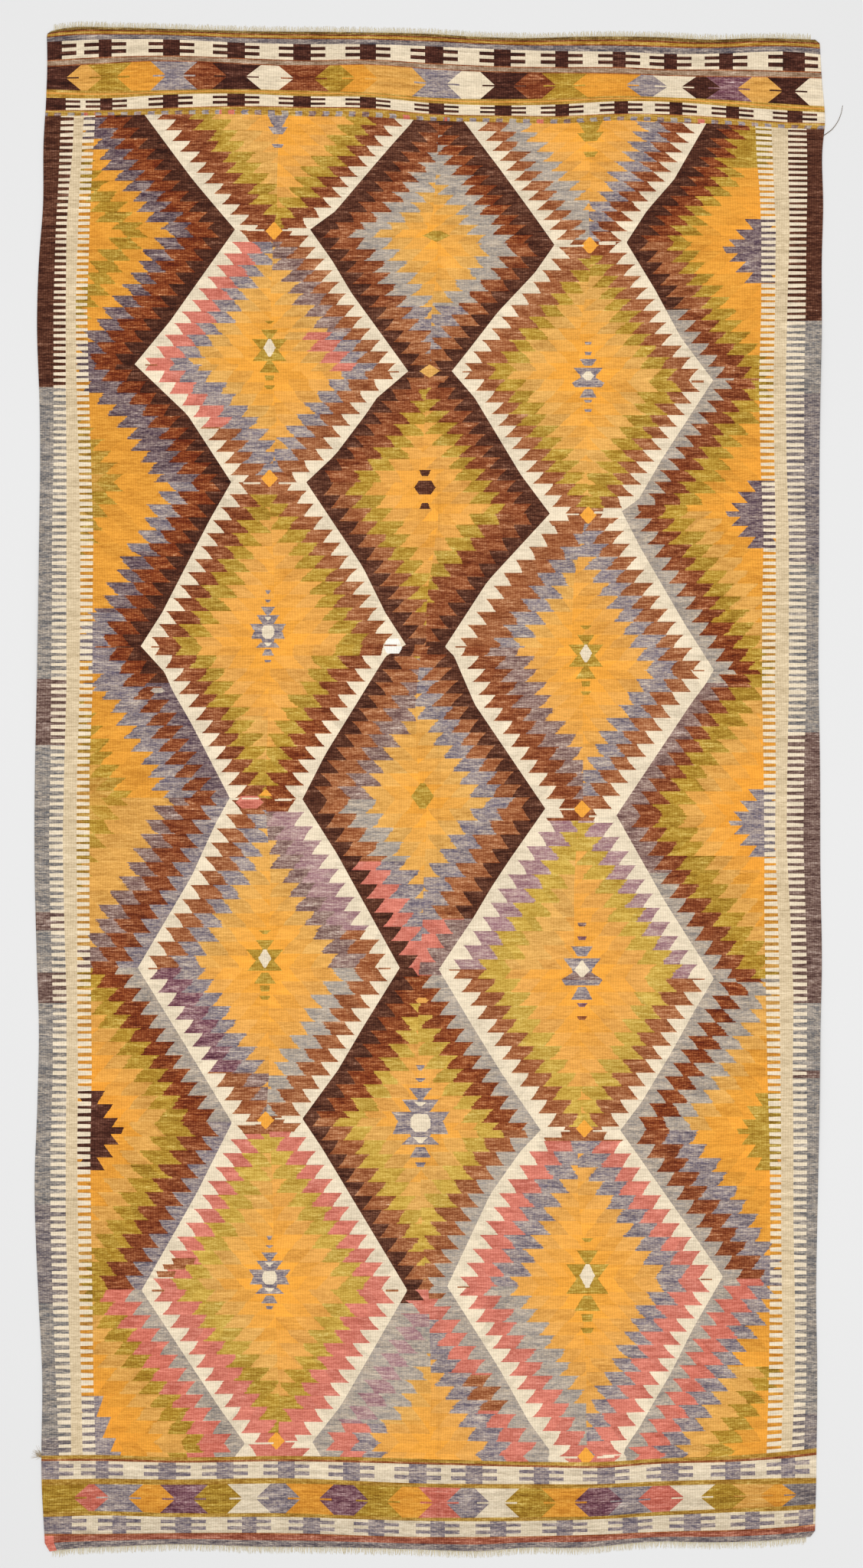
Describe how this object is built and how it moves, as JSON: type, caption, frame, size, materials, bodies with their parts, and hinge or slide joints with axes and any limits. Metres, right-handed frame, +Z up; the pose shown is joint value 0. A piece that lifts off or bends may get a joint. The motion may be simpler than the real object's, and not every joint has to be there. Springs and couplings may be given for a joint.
{
  "type": "kilim rug",
  "caption": "Flat-woven wool rug with stepped diamonds, comb borders and patterned end bands, lying flat, with short cut warp ends at both hems.",
  "frame": {"origin": "middle of the rug's footprint, at the underside that lies on the floor", "axes": "+Y along the rug's length towards its upper hem, +X across it towards the right selvedge, +Z up out of the face"},
  "size_m": [1.7534, 3.3168, 0.0074],
  "materials": {
    "woven_wool": "matt hand-spun wool in slit tapestry weave, faded in bands, in orange, ochre, ivory, brown, grey-blue, green and pink",
    "warp_ends": "undyed cream wool warp, cut short and fuzzy",
    "grey_yarn": "grey-brown twisted wool yarn",
    "tan_yarn": "tan wool yarn, frayed open"
  },
  "bodies": {
    "root": {"kilim": "woven_wool", "fringe_lower": "warp_ends", "fringe_upper": "warp_ends", "yarn_tail": "grey_yarn", "yarn_tuft": "tan_yarn"}
  },
  "joints": []
}
